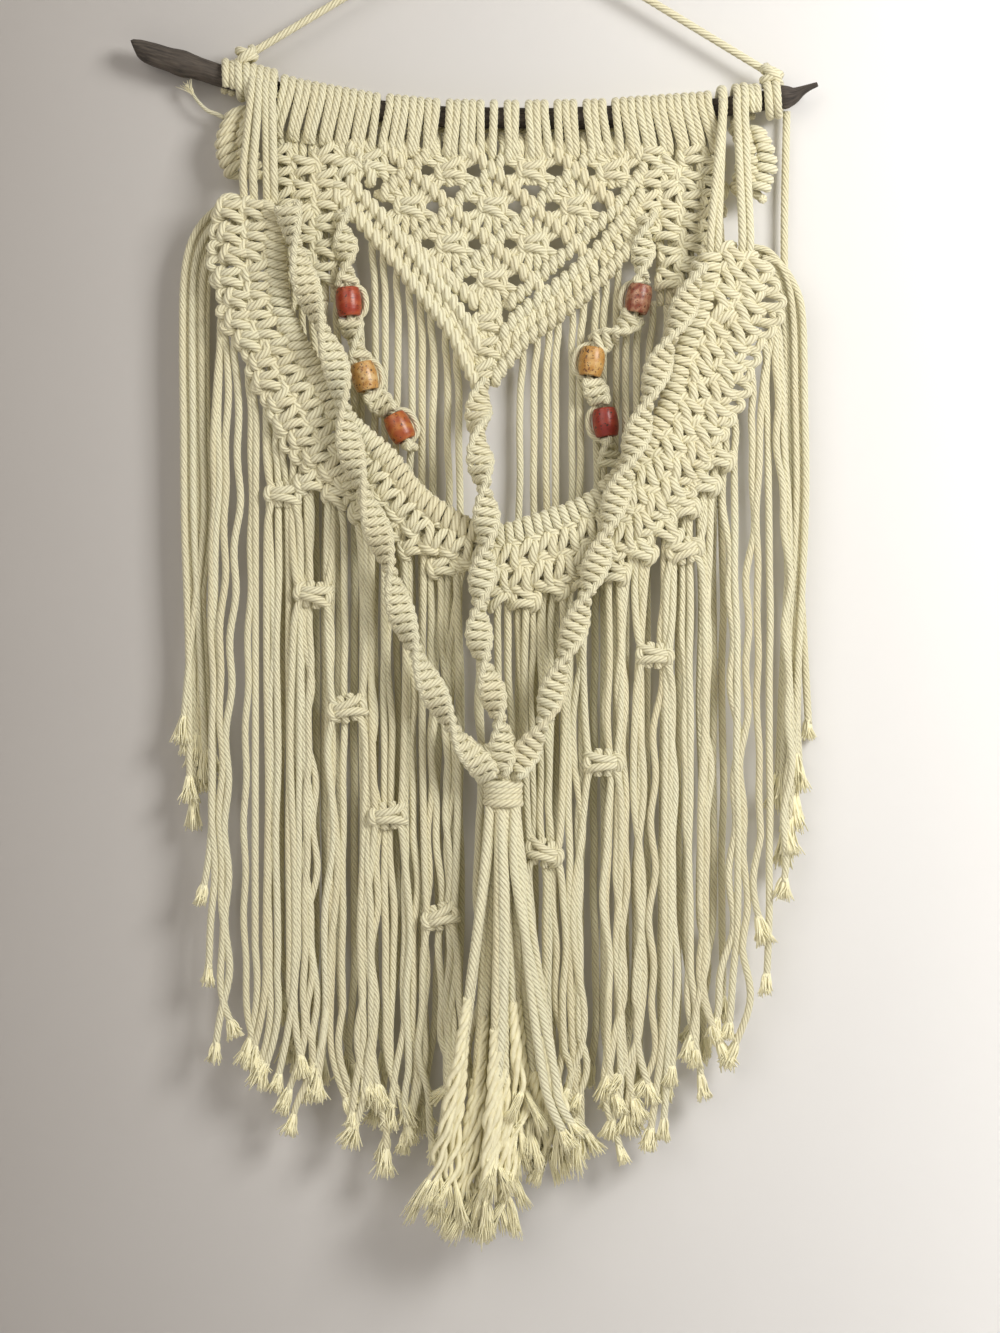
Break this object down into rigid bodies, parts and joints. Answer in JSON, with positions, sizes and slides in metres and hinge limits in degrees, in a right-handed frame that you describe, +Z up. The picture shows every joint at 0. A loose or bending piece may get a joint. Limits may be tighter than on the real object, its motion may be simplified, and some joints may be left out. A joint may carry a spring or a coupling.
{
  "type": "knotted cord wall hanging",
  "caption": "Two-layer knotted cotton wall hanging on a driftwood branch, with a V panel, a swag with long fringe, spiral sinnets, beads and a gathered tassel.",
  "frame": {"origin": "top of the nail that the hanging cord rests on, under the middle of the cord's bend", "axes": "+Z up, +X to the viewer's right, front faces -Y, wall behind at +Y"},
  "size_m": [0.3456, 0.0433, 0.6611],
  "materials": {
    "cotton_cord": "matt three-strand twisted cotton",
    "driftwood": "weathered dark bark, matt",
    "bead_left_top": "stained and waxed barrel bead, satin",
    "bead_left_middle": "stained and waxed barrel bead, satin",
    "bead_left_bottom": "stained and waxed barrel bead, satin",
    "bead_right_top": "stained and waxed barrel bead, satin",
    "bead_right_middle": "stained and waxed barrel bead, satin",
    "bead_right_bottom": "stained and waxed barrel bead, satin"
  },
  "bodies": {
    "hanger": {"hanging_cord": "cotton_cord", "hanging_knot_left": "cotton_cord", "hanging_knot_right": "cotton_cord"},
    "panel": {"branch": "driftwood", "lark_head_row": "cotton_cord", "scallop_heads_left": "cotton_cord", "scallop_heads_right": "cotton_cord", "side_scallop_left": "cotton_cord", "side_scallop_right": "cotton_cord", "outer_lattice_left": "cotton_cord", "outer_lattice_right": "cotton_cord", "v_panel": "cotton_cord", "back_fringe_left_outer": "cotton_cord", "back_fringe_left_inner": "cotton_cord", "back_fringe_right_inner": "cotton_cord", "back_fringe_right_outer": "cotton_cord", "beaded_sinnet_left": "cotton_cord", "beaded_sinnet_right": "cotton_cord", "stray_cord_end": "cotton_cord"},
    "front": {"suspension_loop_left": "cotton_cord", "suspension_loop_right": "cotton_cord", "suspension_outer_left": "cotton_cord", "suspension_inner_left": "cotton_cord", "suspension_outer_right": "cotton_cord", "suspension_inner_right": "cotton_cord", "swag_left": "cotton_cord", "swag_right": "cotton_cord", "front_fringe_left_outer": "cotton_cord", "front_fringe_left_middle": "cotton_cord", "front_fringe_left_inner": "cotton_cord", "front_fringe_centre": "cotton_cord", "front_fringe_right_inner": "cotton_cord", "front_fringe_right_middle": "cotton_cord", "front_fringe_right_outer": "cotton_cord", "fringe_knot_left_1": "cotton_cord", "fringe_knot_left_2": "cotton_cord", "fringe_knot_left_3": "cotton_cord", "fringe_knot_left_4": "cotton_cord", "fringe_knot_left_5": "cotton_cord", "fringe_knot_right_1": "cotton_cord", "fringe_knot_right_2": "cotton_cord", "fringe_knot_right_3": "cotton_cord", "fringe_knot_right_4": "cotton_cord", "spiral_left": "cotton_cord", "spiral_right": "cotton_cord", "spiral_centre": "cotton_cord", "gathering_wrap": "cotton_cord"},
    "tassel": {"tassel_unlaid": "cotton_cord", "tassel_cord_ends": "cotton_cord"},
    "tail": {"hanging_cord_tail": "cotton_cord"},
    "bunch_left": {"side_bunch_left": "cotton_cord"},
    "bunch_right": {"side_bunch_right": "cotton_cord"},
    "bead_left_top": {"bead_left_top": "bead_left_top"},
    "bead_left_middle": {"bead_left_middle": "bead_left_middle"},
    "bead_left_bottom": {"bead_left_bottom": "bead_left_bottom"},
    "bead_right_top": {"bead_right_top": "bead_right_top"},
    "bead_right_middle": {"bead_right_middle": "bead_right_middle"},
    "bead_right_bottom": {"bead_right_bottom": "bead_right_bottom"}
  },
  "joints": [
    {"name": "panel_swing", "type": "hinge", "parent": "hanger", "child": "panel", "pos_m": [-0.1264, 0, -0.08543], "axis": [-0.9995, 0, 0.0321], "range_deg": [0, 25]},
    {"name": "front_swing", "type": "hinge", "parent": "panel", "child": "front", "pos_m": [-0.1154, 0, -0.08836], "axis": [-0.9992, 0, 0.0389], "range_deg": [0, 12]},
    {"name": "tassel_swing", "type": "hinge", "parent": "front", "child": "tassel", "pos_m": [0.0035, -0.0286, -0.451], "axis": [-1, 0, 0], "range_deg": [0, 20]},
    {"name": "tail_swing", "type": "hinge", "parent": "hanger", "child": "tail", "pos_m": [0.1472, 0.00565, -0.099], "axis": [0, -1, 0], "range_deg": [0, 20]},
    {"name": "bunch_left_swing", "type": "hinge", "parent": "front", "child": "bunch_left", "pos_m": [-0.128, -0.0012, -0.147], "axis": [0, 1, 0], "range_deg": [0, 15]},
    {"name": "bunch_right_swing", "type": "hinge", "parent": "front", "child": "bunch_right", "pos_m": [0.13, -0.0012, -0.169], "axis": [0, -1, 0], "range_deg": [0, 15]},
    {"name": "bead_spin_left_top", "type": "hinge", "parent": "panel", "child": "bead_left_top", "pos_m": [-0.074, -0.0053, -0.197], "axis": [0.0797, 0, -0.9968], "continuous": true},
    {"name": "bead_spin_left_middle", "type": "hinge", "parent": "panel", "child": "bead_left_middle", "pos_m": [-0.066, -0.0053, -0.2345], "axis": [0.2425, 0, -0.9701], "continuous": true},
    {"name": "bead_spin_left_bottom", "type": "hinge", "parent": "panel", "child": "bead_left_bottom", "pos_m": [-0.0485, -0.0053, -0.26], "axis": [0.4472, 0, -0.8944], "continuous": true},
    {"name": "bead_spin_right_top", "type": "hinge", "parent": "panel", "child": "bead_right_top", "pos_m": [0.0715, -0.0053, -0.1955], "axis": [-0.1961, 0, -0.9806], "continuous": true},
    {"name": "bead_spin_right_middle", "type": "hinge", "parent": "panel", "child": "bead_right_middle", "pos_m": [0.048, -0.0053, -0.227], "axis": [-0.1483, 0, -0.9889], "continuous": true},
    {"name": "bead_spin_right_bottom", "type": "hinge", "parent": "panel", "child": "bead_right_bottom", "pos_m": [0.055, -0.0053, -0.2575], "axis": [0.1191, 0, -0.9929], "continuous": true}
  ]
}
